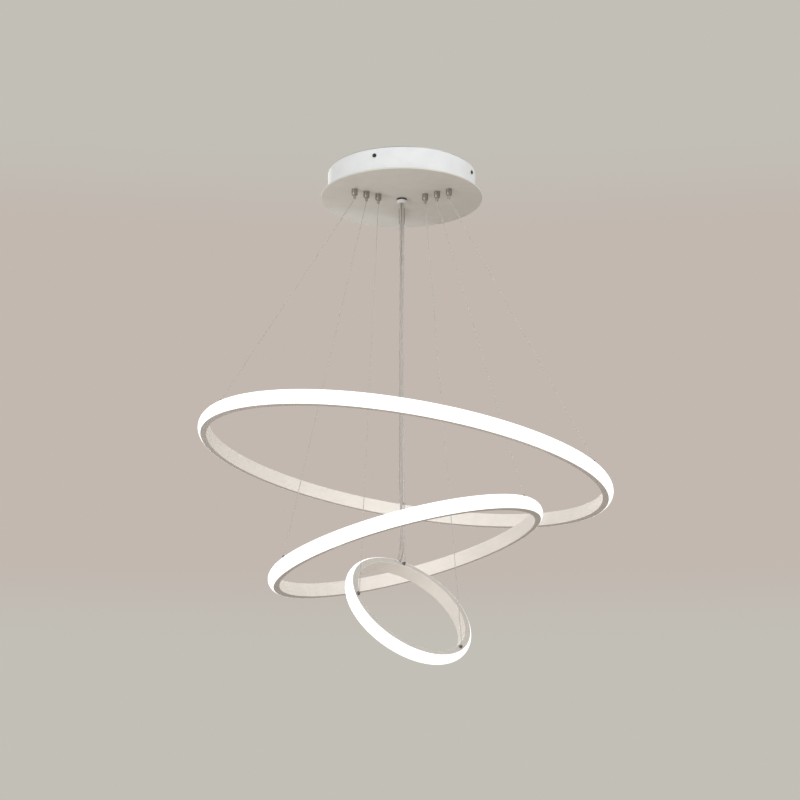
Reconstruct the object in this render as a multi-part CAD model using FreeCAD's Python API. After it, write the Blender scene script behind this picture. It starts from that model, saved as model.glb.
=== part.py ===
import FreeCAD, Part
import math
import os

# Three-ring LED pendant light. Millimetres, +Z up, origin where the centre of the ceiling
# plate meets the ceiling. The viewer of the photograph stands on the -Y side.

V = FreeCAD.Vector
UP = V(0, 0, 1)
full_turn = 360.0

# ---- clearances ---------------------------------------------------------------------------
running_fit = 0.05      # plunger in its barrel, per side
seat_fit = 0.05         # parts that are only laid or pushed into each other, per side
bolt_fit = 0.2          # a screw or stud in a clear hole, per side
past = 1.0              # how far a cut runs on past the surfaces it opens

# ---- canopy -------------------------------------------------------------------------------
canopy_depth = 39.0             # ceiling to the underside of the cover plate
plate_overhang = 10.0           # of the cover plate round the drum
plate_thickness = 2.5
plate_edge = 0.8                # chamfer of the plate's rim
drum_radius = 110.0
drum_wall = 1.2
drum_flange = 12.0              # width of the drum's inward foot
shadow_gap = 1.5                # between the ceiling and the drum's upper edge
ceiling_plate_thickness = 1.5
ceiling_plate_skirt = 17.0      # height of the ceiling plate's turned-down rim
ceiling_plate_fit = 0.3         # between that rim and the drum
ceiling_hole_diameter = 5.2
ceiling_hole_spacing = 70.0
cable_hole_diameter = 25.0
side_screw_diameter = 4.0
side_screw_length = 8.0
side_screw_head = 6.0
side_screw_head_height = 1.8
side_screw_slot = 0.8           # width and depth
side_screw_drop = 12.0          # screw axis below the ceiling
side_screw_azimuths = (-111.0, -21.0, 69.0, 159.0)
stud_diameter = 4.0
stud_length = 7.0
stud_azimuths = (45.0, 135.0, 225.0, 315.0)
stud_nut_width = 7.0
stud_nut_height = 3.2

# ---- driver and terminal block ------------------------------------------------------------
driver_length = 112.0
driver_width = 38.0
driver_height = 18.0
driver_wall = 1.5
driver_lid_thickness = 1.5
driver_offset = 50.0            # from the axis, towards the far side
driver_ear = 7.0
driver_ear_thickness = 1.5
driver_screw_diameter = 3.0
driver_screw_head = 5.5
driver_screw_head_height = 1.6
terminal_length = 28.0
terminal_width = 16.0
terminal_height = 13.0
terminal_margin = 18.0          # from the drum's outside to the block
terminal_offset = 12.0          # from the axis, towards the far side
terminal_bore = 3.0
supply_lead_diameter = 2.4
supply_lead_bend = 4.0
supply_lead_run = 10.0          # straight out of the terminal block
supply_lead_step = 5.0          # between the two leads where they turn

# ---- cable gland --------------------------------------------------------------------------
gland_diameter = 15.0
gland_height = 7.0
gland_taper = 2.2
gland_stem = 10.0
gland_stem_rise = 7.5           # above the cover plate
gland_bore = 8.2
gland_nut_width = 14.0
gland_nut_height = 3.0
flex_diameter = 3.2
flex_tail_step = 4.6            # between the flexes inside the canopy
flex_tail_bend = 8.0
flex_tail_rise = 1.0            # of the turn above the gland over the driver's bores
flex_tail_clearance = 13.0      # from the driver's ear to the middle flex
flex_hole_radius = 2.15         # of the circle on which the three flexes stand
flex_run_out = 14.0             # straight down out of the gland
flex_run_in = 10.0              # straight into the grommet, along the ring's axis

# ---- wire grippers ------------------------------------------------------------------------
gripper_barrel = 9.0
gripper_barrel_height = 10.0
gripper_barrel_chamfer = 0.8
gripper_stem = 6.5
gripper_stem_rise = 7.5
gripper_nut_width = 9.0
gripper_nut_height = 3.0
plunger_diameter = 4.0
plunger_reach = 5.0             # how far it stands out of its barrel
plunger_tip_chamfer = 0.6
plunger_collar = 5.0
plunger_collar_height = 3.5
plunger_seat = 3.0              # thickness of the barrel's end under the collar
plunger_travel = 2.0
spring_length = 9.0
spring_wire = 0.5
spring_diameter = 4.2           # on the wire's centre
spring_turns = 5
spring_turn_spare = 0.05
wire_diameter = 1.2
wire_bore = 1.8
wire_turn_drop = 0.6            # the wire turns this far under the plunger's tip
tail_level = -23.5              # where the spare wire lies in the canopy
tail_bend = 4.0

# ---- ring section, the same for all three rings -------------------------------------------
band_height = 20.0
channel_depth = 9.0
channel_wall = 1.4
channel_lip = 1.0
channel_lip_width = 1.4
diffuser_bulge = 5.0
diffuser_wall = 1.6
diffuser_leg = 1.2
diffuser_snap_fit = 0.2         # between its legs and the channel's lips
diffuser_leg_length = 2.7
led_strip_height = 10.0
led_strip_thickness = 0.3
led_tape = 0.2                  # between the strip and the channel's back
led_chip = (3.5, 0.7, 2.8)      # along the strip, out of it, upwards
led_pitch = 30.0
led_end_gap = 2.0               # from the strip's ends to the splice plate
splice_gap = 0.3
splice_length = 40.0
splice_height = 12.0
splice_thickness = 1.2
splice_screw_diameter = 3.0
splice_screw_length = 2.6
nipple_diameter = 5.0
nipple_height = 4.0
nipple_stem = 3.2
nipple_stem_drop = 0.6
nipple_bore = 1.4
nipple_taper = 0.9
stop_diameter = 3.0
stop_height = 4.0
grommet_diameter = 6.6
grommet_height = 2.5
grommet_taper = 0.7
grommet_neck = 5.2
grommet_foot = 5.6
grommet_foot_height = 1.0
lead_drop = 6.0                 # how far the flex goes on inside the ring

# ---- the three rings ----------------------------------------------------------------------
# centre and the two turns, about X and then about Y, in degrees; azimuths are about the
# ring's own axis. Each ring hangs from the three grippers that stand gripper_radius from
# the canopy's axis. flex is the route from the gland to the grommet, without its two ends.
RINGS = {
    "large": {
        "radius": 300.0, "centre": (4.0, -4.0, -446.0), "turn": (-1.0, 9.5),
        "gripper_radius": 80.0, "tail": 105.0,
        "wires": {"far": 90.3, "left": 207.0, "right": 333.0},
        "grommet": 91.7, "splice": 262.0, "flex_hole": 90.0,
        "flex": (
            (-0.2, 5.0, -92.0), (-1.2, 17.0, -134.0), (-2.0, 38.0, -180.0),
            (-2.0, 68.0, -227.0), (-2.2, 105.0, -272.0), (-2.4, 148.0, -314.0),
            (-2.4, 194.0, -352.0), (-2.6, 239.0, -385.0), (-3.0, 268.0, -405.0),
            (-2.4, 280.0, -416.0),
        ),
    },
    "middle": {
        "radius": 200.0, "centre": (6.0, -7.0, -569.0), "turn": (-1.0, -14.6),
        "gripper_radius": 60.0, "tail": 80.0,
        "wires": {"far": 89.8, "left": 207.0, "right": 334.0},
        "grommet": 92.0, "splice": 262.0, "flex_hole": 210.0,
        "flex": (
            (-1.9, -1.0, -94.0), (-1.9, 3.0, -140.0), (-0.7, 11.0, -196.0),
            (-0.2, 21.0, -252.0), (-0.8, 35.0, -308.0), (-1.0, 54.0, -362.0),
            (-0.5, 80.0, -414.0), (0.0, 112.0, -462.0), (-0.3, 147.0, -505.0),
            (-1.5, 168.0, -527.0), (-3.8, 178.0, -539.0),
        ),
    },
    "small": {
        "radius": 100.0, "centre": (9.5, 13.0, -653.8), "turn": (39.8, 39.1),
        "gripper_radius": 40.0, "tail": 55.0,
        "wires": {"far": 126.0, "left": 226.0, "right": 356.0},
        "grommet": 131.0, "splice": 290.0, "flex_hole": 330.0,
        "flex": (
            (1.9, -1.6, -96.0), (1.9, -1.5, -144.0), (0.7, 1.0, -200.0),
            (-0.2, 6.5, -256.0), (-0.4, 13.5, -312.0), (-0.4, 21.5, -368.0),
            (-0.6, 30.0, -424.0), (-1.2, 38.5, -478.0), (-0.8, 43.8, -526.0),
            (1.2, 47.6, -552.0),
        ),
    },
}
GRIPPER_AZIMUTHS = {"far": 90.0, "left": 210.0, "right": 330.0}

# ---- levels and radii that follow from the sizes above ------------------------------------
plate_radius = drum_radius + plate_overhang
terminal_centre = (terminal_margin + terminal_width / 2 - drum_radius, terminal_offset)
plate_under = -canopy_depth
plate_top = plate_under + plate_thickness
barrel_end = plate_under - gripper_barrel_height
collar_under = barrel_end + plunger_seat
plunger_tip = barrel_end - plunger_reach
spring_foot = collar_under + plunger_collar_height
wire_turn_level = plunger_tip - wire_turn_drop
gland_under = plate_under - gland_height
half_band = band_height / 2
drum_inside = drum_radius - drum_wall
skirt_outside = drum_inside - ceiling_plate_fit


# ---- small helpers ------------------------------------------------------------------------
def polar(radius, azimuth, z=0.0):
    turn = math.radians(azimuth)
    return V(radius * math.cos(turn), radius * math.sin(turn), z)


def disc(radius, low, high, at=(0.0, 0.0)):
    return Part.makeCylinder(radius, high - low, V(at[0], at[1], low))


def ring_of(outer, inner, low, high, at=(0.0, 0.0)):
    return disc(outer, low, high, at).cut(disc(inner, low - past, high + past, at))


def block(x, y, z):
    """A box from its lowest and highest value on each axis."""
    return Part.makeBox(x[1] - x[0], y[1] - y[0], z[1] - z[0], V(x[0], y[0], z[0]))


def hexagon(width, low, high, at=(0.0, 0.0)):
    corner = width / math.sqrt(3)
    points = [polar(corner, 60 * k + 30, low) + V(at[0], at[1], 0) for k in range(7)]
    return Part.Face(Part.makePolygon(points)).extrude(V(0, 0, high - low))


def lathe(outline, start=0.0, sweep=full_turn):
    """Turns an outline of (radius, height) points about Z."""
    points = [V(r, 0, z) for r, z in outline]
    face = Part.Face(Part.makePolygon(points + points[:1]))
    solid = face.revolve(V(0, 0, 0), UP, sweep)
    solid.rotate(V(0, 0, 0), UP, start)
    return solid


def rod(start, end, diameter):
    axis = end - start
    return Part.makeCylinder(diameter / 2, axis.Length, start, axis)


def tube(points, diameter, bend=None):
    """Straight runs joined by tangent arcs. With no bend given each arc is as large as
    its two runs allow."""
    edges, radii, here = [], [], points[0]
    for before, corner, after in zip(points, points[1:], points[2:]):
        into, out = corner - before, after - corner
        half_turn = into.getAngle(out) / 2
        reach = 0.45 * min(into.Length, out.Length)
        radius = bend if bend else reach / math.tan(half_turn)
        reach = radius * math.tan(half_turn)
        into.normalize()
        out.normalize()
        first, last = corner - into * reach, corner + out * reach
        inward = (out - into).normalize()
        middle = corner + inward * (radius / math.cos(half_turn) - radius)
        edges.append(Part.makeLine(here, first))
        edges.append(Part.Arc(first, middle, last).toShape())
        radii.append(radius)
        here = last
    edges.append(Part.makeLine(here, points[-1]))
    path = Part.Wire(edges)
    start = points[1] - points[0]
    section = Part.Wire(Part.makeCircle(diameter / 2, points[0], start))
    solid = path.makePipeShell([section], True, False)
    wanted = math.pi * (diameter / 2) ** 2 * path.Length
    return solid, path.Length, min(radii), solid.Volume / wanted


def save(name, *solids):
    shape = solids[0] if len(solids) == 1 else Part.makeCompound(list(solids))
    shape.exportStep("parts/" + name + ".step")


# ---- canopy -------------------------------------------------------------------------------
def ceiling_plate():
    plate = disc(skirt_outside, -ceiling_plate_thickness, 0)
    skirt = ring_of(skirt_outside, skirt_outside - ceiling_plate_thickness,
                    -ceiling_plate_skirt, -ceiling_plate_thickness)
    plate = plate.fuse(skirt).removeSplitter()
    plate = plate.cut(disc(cable_hole_diameter / 2, -canopy_depth, past))
    for side in (-1, 1):
        at = (0, side * ceiling_hole_spacing / 2)
        plate = plate.cut(disc(ceiling_hole_diameter / 2, -canopy_depth, past, at))
    for azimuth in side_screw_azimuths:
        plate = plate.cut(side_bore(azimuth, side_screw_diameter / 2 + seat_fit))
    for at in driver_screw_places():
        plate = plate.cut(disc(driver_screw_diameter / 2 + seat_fit, -canopy_depth, past, at))
    return plate


def side_bore(azimuth, radius):
    """A bore through the drum's wall and the ceiling plate's skirt."""
    outer = polar(drum_radius + past, azimuth, -side_screw_drop)
    inner = polar(drum_radius - side_screw_length - past, azimuth, -side_screw_drop)
    return rod(outer, inner, 2 * radius)


def canopy_drum():
    wall = ring_of(drum_radius, drum_inside, plate_top, -shadow_gap)
    foot = ring_of(drum_radius, drum_radius - drum_flange, plate_top, plate_top + drum_wall)
    drum = wall.fuse(foot).removeSplitter()
    for azimuth in side_screw_azimuths:
        drum = drum.cut(side_bore(azimuth, side_screw_diameter / 2 + bolt_fit))
    for place in stud_places():
        drum = drum.cut(disc(stud_diameter / 2 + bolt_fit, plate_under, plate_top + stud_length,
                             place))
    return drum


def stud_places():
    radius = drum_radius - drum_wall - (drum_flange - drum_wall) / 2
    return [(polar(radius, a).x, polar(radius, a).y) for a in stud_azimuths]


def canopy_plate():
    plate = lathe([
        (0, plate_top), (0, plate_under), (plate_radius - plate_edge, plate_under),
        (plate_radius, plate_under + plate_edge), (plate_radius, plate_top),
    ])
    plate = plate.cut(disc(gland_stem / 2 + seat_fit, plate_under - past, plate_top + past))
    for ring in RINGS.values():
        for azimuth in GRIPPER_AZIMUTHS.values():
            at = polar(ring["gripper_radius"], azimuth)
            bore = disc(gripper_stem / 2 + seat_fit, plate_under - past, plate_top + past, at[:2])
            plate = plate.cut(bore)
    for place in stud_places():
        plate = plate.fuse(disc(stud_diameter / 2, plate_top, plate_top + stud_length, place))
    return plate


def plate_nuts():
    low = plate_top + drum_wall
    nuts = []
    for place in stud_places():
        nut = hexagon(stud_nut_width, low, low + stud_nut_height, place)
        bore = disc(stud_diameter / 2 + seat_fit, plate_top, low + stud_length, place)
        nuts.append(nut.cut(bore))
    return nuts


def side_screws():
    screws = []
    for azimuth in side_screw_azimuths:
        seat = polar(drum_radius, azimuth, -side_screw_drop)
        outwards = polar(1, azimuth)
        head = Part.makeCylinder(side_screw_head / 2, side_screw_head_height, seat, outwards)
        slot = block((-side_screw_slot / 2, side_screw_slot / 2),
                     (-side_screw_head, side_screw_head), (-side_screw_slot, past))
        slot.Placement = FreeCAD.Placement(
            seat + outwards * side_screw_head_height, FreeCAD.Rotation(UP, outwards))
        shank = Part.makeCylinder(
            side_screw_diameter / 2, side_screw_length, seat, outwards * -1)
        screws.append(head.cut(slot).fuse(shank).removeSplitter())
    return screws


# ---- driver, terminal block and wiring ----------------------------------------------------
driver_top = -ceiling_plate_thickness
driver_under = driver_top - driver_height
driver_ends = (-driver_length / 2, driver_length / 2)
driver_sides = (driver_offset - driver_width / 2, driver_offset + driver_width / 2)


def driver_screw_places():
    return [(side * (driver_length + driver_ear) / 2, driver_offset) for side in (-1, 1)]


def driver_case():
    """An open-bottomed box with an ear at each end, screwed up to the ceiling plate."""
    low = driver_under + driver_lid_thickness
    case = block(driver_ends, driver_sides, (low, driver_top))
    hollow = block((driver_ends[0] + driver_wall, driver_ends[1] - driver_wall),
                   (driver_sides[0] + driver_wall, driver_sides[1] - driver_wall),
                   (driver_under, driver_top - driver_wall))
    ears = block((driver_ends[0] - driver_ear, driver_ends[1] + driver_ear),
                 (driver_offset - driver_ear, driver_offset + driver_ear),
                 (driver_top - driver_ear_thickness, driver_top))
    case = case.fuse(ears).cut(hollow).removeSplitter()
    for at in driver_screw_places():
        case = case.cut(disc(driver_screw_diameter / 2 + bolt_fit, driver_under, 0, at))
    reach = driver_wall + past
    for end, lead in [(0, p) for p in supply_places()] + [(1, p) for p in output_places()]:
        y, z, radius = lead
        x = driver_ends[end]
        case = case.cut(rod(V(x - reach, y, z), V(x + reach, y, z), 2 * radius))
    return case


def supply_places():
    """Across and height of the two mains leads in the driver's end, and their bore."""
    radius = supply_lead_diameter / 2 + seat_fit
    level = driver_top - driver_height / 2
    return [(driver_offset + side * supply_lead_diameter, level, radius) for side in (-1, 1)]


def output_places():
    radius = flex_diameter / 2 + seat_fit
    level = driver_top - driver_height / 2
    return [(driver_offset + k * flex_tail_step, level, radius) for k in (-1, 0, 1)]


def driver_lid():
    return block(driver_ends, driver_sides, (driver_under, driver_under + driver_lid_thickness))


def driver_screws():
    seat = driver_top - driver_ear_thickness
    screws = []
    for at in driver_screw_places():
        head = disc(driver_screw_head / 2, seat - driver_screw_head_height, seat, at)
        screws.append(head.fuse(disc(driver_screw_diameter / 2, seat, 0, at)).removeSplitter())
    return screws


def terminal_block():
    x, y = terminal_centre
    under = -ceiling_plate_thickness - terminal_height
    body = block((x - terminal_width / 2, x + terminal_width / 2),
                 (y - terminal_length / 2, y + terminal_length / 2),
                 (under, -ceiling_plate_thickness))
    step = terminal_length / 3
    for k in (-1, 0, 1):
        level = under + terminal_height / 2
        ends = [V(x + side * terminal_width, y + k * step, level) for side in (-1, 1)]
        body = body.cut(rod(*ends, terminal_bore))
        body = body.cut(disc(terminal_bore / 2, under - past, level, (x, y + k * step)))
    return body


def supply_leads():
    """Live and neutral from the terminal block round into the driver's near end."""
    x, y = terminal_centre
    level = -ceiling_plate_thickness - terminal_height / 2
    step = terminal_length / 3
    leads = []
    for k, (across, height, _) in enumerate(reversed(supply_places())):
        start = V(x, y + (1 - k) * step, level)
        turn_x = x + terminal_width / 2 + supply_lead_run + supply_lead_step * k
        route = [start, V(turn_x, start.y, level), V(turn_x, across, height),
                 V(driver_ends[0] + driver_wall, across, height)]
        leads.append(tube(route, supply_lead_diameter, supply_lead_bend)[0])
    return leads


# ---- cable gland and grippers -------------------------------------------------------------
def flex_holes():
    return {name: polar(flex_hole_radius, ring["flex_hole"]) for name, ring in RINGS.items()}


def gland_body():
    outer = gland_diameter / 2
    gland = lathe([
        (gland_bore / 2, gland_under), (outer - gland_taper, gland_under),
        (outer, gland_under + gland_taper), (outer, plate_under), (gland_stem / 2, plate_under),
        (gland_stem / 2, plate_top + gland_stem_rise),
        (gland_bore / 2, plate_top + gland_stem_rise),
    ])
    return gland


def gland_nut():
    nut = hexagon(gland_nut_width, plate_top, plate_top + gland_nut_height)
    return nut.cut(disc(gland_stem / 2 + seat_fit, plate_under, plate_top + gland_stem_rise))


def gland_seal():
    seal = disc(gland_bore / 2, gland_under, plate_top + gland_stem_rise)
    for hole in flex_holes().values():
        seal = seal.cut(disc(flex_diameter / 2, gland_under - past, 0, hole[:2]))
    return seal


def flex_tails():
    """The three flexes from the gland's mouth up and round into the driver's far end."""
    tails = []
    middle_x = driver_ends[1] + driver_ear + flex_tail_clearance
    for hole, (across, level, _) in zip(flex_holes().values(), output_places()):
        shift = across - driver_offset
        rise, turn_x = level + flex_tail_rise - shift, middle_x + shift
        route = [V(hole.x, hole.y, gland_under), V(hole.x, hole.y, rise),
                 V(turn_x, hole.y, rise), V(turn_x, across, level),
                 V(driver_ends[1] - driver_wall, across, level)]
        tails.append(tube(route, flex_diameter, flex_tail_bend)[0])
    return tails


def gripper_places():
    return [(ring, side, polar(spec["gripper_radius"], azimuth))
            for ring, spec in RINGS.items() for side, azimuth in GRIPPER_AZIMUTHS.items()]


def gripper_body(at):
    """A barrel under the cover plate with a threaded stem through it; the bore holds the
    spring and the plunger's collar above the barrel's end."""
    outer, stem = gripper_barrel / 2, gripper_stem / 2
    cavity = plunger_collar / 2 + running_fit
    mouth = plunger_diameter / 2 + running_fit
    roof = spring_foot + spring_length
    top = plate_top + gripper_stem_rise
    body = lathe([
        (mouth, barrel_end), (outer - gripper_barrel_chamfer, barrel_end),
        (outer, barrel_end + gripper_barrel_chamfer), (outer, plate_under),
        (stem, plate_under), (stem, top), (wire_bore / 2, top), (wire_bore / 2, roof),
        (cavity, roof), (cavity, collar_under), (mouth, collar_under),
    ])
    return body.translated(at)


def gripper_nut(at):
    high = plate_top + gripper_nut_height
    nut = hexagon(gripper_nut_width, plate_top, high, at[:2])
    return nut.cut(disc(gripper_stem / 2 + seat_fit, plate_under, high + past, at[:2]))


def gripper_plunger(at):
    stem, bore = plunger_diameter / 2, wire_bore / 2
    return lathe([
        (bore, plunger_tip), (stem - plunger_tip_chamfer, plunger_tip),
        (stem, plunger_tip + plunger_tip_chamfer), (stem, collar_under),
        (plunger_collar / 2, collar_under), (plunger_collar / 2, spring_foot),
        (bore, spring_foot),
    ]).translated(at)


def gripper_spring():
    """A compression spring whose wire starts and ends just inside its two seats."""
    spare = spring_wire / 2 + spring_turn_spare
    height = spring_length - 2 * spare
    helix = Part.makeHelix(height / spring_turns, height, spring_diameter / 2)
    section = Part.Wire(Part.makeCircle(
        spring_wire / 2, V(spring_diameter / 2, 0, 0), V(0, 1, 0)))
    spring = Part.Wire(helix).makePipeShell([section], True, True)
    spring.translate(V(0, 0, spring_foot + spare))
    return spring


def wire_tail(at, spec, azimuth):
    """Wire from under the plunger up through the gripper, and its spare length, which
    lies round inside the canopy on the circle of its gripper."""
    radius = spec["gripper_radius"]
    along = polar(1, azimuth + 90)
    foot, knee = V(at.x, at.y, wire_turn_level), V(at.x, at.y, tail_level)
    lead_in = knee + along * tail_bend
    knee_low = knee - UP * tail_bend
    slope = math.sqrt(0.5)
    middle = knee + (along - UP) * tail_bend - (along - UP) * (slope * tail_bend)
    sweep = math.degrees(spec["tail"] / radius)
    pivot = lead_in + (V(0, 0, tail_level) - knee)
    centre = V(pivot.x, pivot.y, 0)

    def on_arc(degrees):
        turned = FreeCAD.Rotation(UP, degrees).multVec(lead_in - V(0, 0, tail_level) - centre)
        return turned + centre + V(0, 0, tail_level)

    path = Part.Wire([
        Part.makeLine(foot, knee_low),
        Part.Arc(knee_low, middle, lead_in).toShape(),
        Part.Arc(lead_in, on_arc(sweep / 2), on_arc(sweep)).toShape(),
    ])
    section = Part.Wire(Part.makeCircle(wire_diameter / 2, foot, UP))
    return path.makePipeShell([section], True, False)


# ---- rings --------------------------------------------------------------------------------
def ring_section(radius):
    """Radii of the channel's back, its inside, its mouth and the strip's face."""
    mouth = radius - diffuser_bulge
    back = mouth - channel_depth
    return back, back + channel_wall, mouth


def wire_circle(radius):
    """Wires, nipples and grommet stand in the middle of the channel."""
    back, _, mouth = ring_section(radius)
    return (back + mouth) / 2


def channel(spec):
    back, inside, mouth = ring_section(spec["radius"])
    deck = half_band - channel_wall
    lip = deck - channel_lip
    lip_start = mouth - channel_lip_width
    upper = [(mouth, half_band), (mouth, lip), (lip_start, lip), (lip_start, deck), (inside, deck)]
    lower = [(r, -z) for r, z in reversed(upper)]
    body = lathe([(back, -half_band), (back, half_band)] + upper + lower)
    gap = block((0, 2 * mouth), (-splice_gap / 2, splice_gap / 2), (-band_height, band_height))
    gap.rotate(V(0, 0, 0), UP, spec["splice"])
    body = body.cut(gap)
    circle = wire_circle(spec["radius"])
    for azimuth in spec["wires"].values():
        at = polar(circle, azimuth)
        body = body.cut(disc(nipple_stem / 2, 0, band_height, at[:2]))
    at = polar(circle, spec["grommet"])
    return body.cut(disc(grommet_neck / 2, 0, band_height, at[:2]))


def diffuser(spec):
    """Domed opal cover with two legs that snap in behind the channel's lips."""
    _, _, mouth = ring_section(spec["radius"])
    crown = spec["radius"]
    leg_out = half_band - channel_wall - channel_lip - diffuser_snap_fit
    leg_in = leg_out - diffuser_leg
    foot = mouth - diffuser_leg_length
    wall = diffuser_wall
    low, high = V(mouth, 0, -half_band), V(mouth, 0, half_band)
    inner_low, inner_high = V(mouth, 0, -leg_in), V(mouth, 0, leg_in)
    outside = Part.Arc(low, V(crown, 0, 0), high).toShape()
    inside = Part.Arc(inner_high, V(crown - wall, 0, 0), inner_low).toShape()
    rim_high = [high, V(mouth, 0, leg_out), V(foot, 0, leg_out), V(foot, 0, leg_in), inner_high]
    rim_low = [V(p.x, 0, -p.z) for p in reversed(rim_high)]
    edges = [outside]
    edges += [Part.makeLine(a, b) for a, b in zip(rim_high, rim_high[1:])]
    edges.append(inside)
    edges += [Part.makeLine(a, b) for a, b in zip(rim_low, rim_low[1:])]
    return Part.Face(Part.Wire(edges)).revolve(V(0, 0, 0), UP, full_turn)


def led_strip(spec):
    """The strip stands on the channel's back and stops at each side of the splice."""
    _, inside, _ = ring_section(spec["radius"])
    rear = inside + led_tape
    face = rear + led_strip_thickness
    half = led_strip_height / 2
    clear = math.degrees((splice_length / 2 + led_end_gap) / inside)
    start, sweep = spec["splice"] + clear, full_turn - 2 * clear
    strip = lathe([(rear, -half), (face, -half), (face, half), (rear, half)], start, sweep)
    count = int(math.radians(sweep) * inside / led_pitch)
    along, out, up = led_chip
    chips = []
    for k in range(count):
        chip = block((face, face + out), (-along / 2, along / 2), (-up / 2, up / 2))
        chip.rotate(V(0, 0, 0), UP, start + sweep * (k + 0.5) / count)
        chips.append(chip)
    return [strip] + chips


def splice_screw_azimuths(spec):
    _, inside, _ = ring_section(spec["radius"])
    quarter = math.degrees(splice_length / 4 / inside)
    return spec["splice"] - quarter, spec["splice"] + quarter


def splice_plate(spec):
    _, inside, _ = ring_section(spec["radius"])
    half = splice_height / 2
    sweep = math.degrees(splice_length / inside)
    outer = inside + splice_thickness
    plate = lathe([(inside, -half), (outer, -half), (outer, half), (inside, half)],
                  spec["splice"] - sweep / 2, sweep)
    for azimuth in splice_screw_azimuths(spec):
        bore = rod(polar(inside - past, azimuth), polar(outer + past, azimuth),
                   splice_screw_diameter)
        plate = plate.cut(bore)
    return plate


def splice_screws(spec):
    """Grub screws in the splice plate that press against the channel's back."""
    _, inside, _ = ring_section(spec["radius"])
    start = inside + seat_fit
    return [rod(polar(start, a), polar(start + splice_screw_length, a),
                splice_screw_diameter - 2 * seat_fit) for a in splice_screw_azimuths(spec)]


def wire_nipples(spec):
    foot = half_band - channel_wall - nipple_stem_drop
    top = half_band + nipple_height
    outline = [
        (nipple_bore / 2, foot), (nipple_stem / 2, foot), (nipple_stem / 2, half_band),
        (nipple_diameter / 2, half_band), (nipple_diameter / 2, top - nipple_taper),
        (nipple_diameter / 2 - nipple_taper, top), (nipple_bore / 2, top),
    ]
    circle = wire_circle(spec["radius"])
    return [lathe(outline).translated(polar(circle, a)) for a in spec["wires"].values()]


def wire_stops(spec):
    """Each wire's crimped stop under the nipple, with the bit of wire in the bore."""
    high = half_band - channel_wall - nipple_stem_drop
    circle = wire_circle(spec["radius"])
    stops = []
    for azimuth in spec["wires"].values():
        at = polar(circle, azimuth)
        stop = disc(stop_diameter / 2, high - stop_height, high, at[:2])
        bit = disc(wire_diameter / 2, high, half_band + nipple_height, at[:2])
        stops.append(stop.fuse(bit).removeSplitter())
    return stops


def cable_grommet(spec):
    deck = half_band - channel_wall
    grommet = lathe([
        (flex_diameter / 2, deck - grommet_foot_height),
        (grommet_foot / 2, deck - grommet_foot_height), (grommet_foot / 2, deck),
        (grommet_neck / 2, deck), (grommet_neck / 2, half_band),
        (grommet_diameter / 2, half_band),
        (grommet_diameter / 2 - grommet_taper, half_band + grommet_height),
        (flex_diameter / 2, half_band + grommet_height),
    ])
    return grommet.translated(polar(wire_circle(spec["radius"]), spec["grommet"]))


def ring_lead(spec):
    """The flex's last stretch, through the grommet to the strip."""
    at = polar(wire_circle(spec["radius"]), spec["grommet"])
    high = half_band + grommet_height
    low = half_band - channel_wall - lead_drop
    return disc(flex_diameter / 2, low, high, at[:2])


def placement(spec):
    about_x, about_y = spec["turn"]
    turn = FreeCAD.Rotation(V(0, 1, 0), about_y).multiply(FreeCAD.Rotation(V(1, 0, 0), about_x))
    return FreeCAD.Placement(V(*spec["centre"]), turn)


def hang(spec, *solids):
    """Moves solids from the ring's own frame to where the ring hangs."""
    place = placement(spec)
    hung = []
    for solid in solids:
        copy = solid.copy()
        copy.Placement = place.multiply(copy.Placement)
        hung.append(copy)
    return hung


def free_wires(spec):
    """Each wire's straight stretch, cut off level under its gripper and flush with the
    top of its nipple."""
    place = placement(spec)
    circle = wire_circle(spec["radius"])
    top = half_band + nipple_height
    wires, lengths = [], []
    for side, azimuth in spec["wires"].items():
        upper = polar(spec["gripper_radius"], GRIPPER_AZIMUTHS[side], wire_turn_level)
        lower = place.multVec(polar(circle, azimuth, top))
        run = lower - upper
        lengths.append(run.Length)
        run.normalize()
        wire = rod(upper - run * (2 * wire_diameter), lower + run * (2 * wire_diameter),
                   wire_diameter)
        above = disc(plate_radius, wire_turn_level, 0)
        below = hang(spec, disc(spec["radius"], 0, top))[0]
        wires.append(wire.cut(above).cut(below))
    return wires, lengths


def flex_points(name, spec):
    """The flex's route: straight down out of the gland, by hand to the ring, and into the
    grommet along the ring's own axis."""
    hole = flex_holes()[name]
    start = V(hole.x, hole.y, gland_under)
    circle, top = wire_circle(spec["radius"]), half_band + grommet_height
    above, end = [placement(spec).multVec(polar(circle, spec["grommet"], top + rise))
                  for rise in (flex_run_in, 0)]
    return [start, start - UP * flex_run_out] + [V(*p) for p in spec["flex"]] + [above, end]


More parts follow.
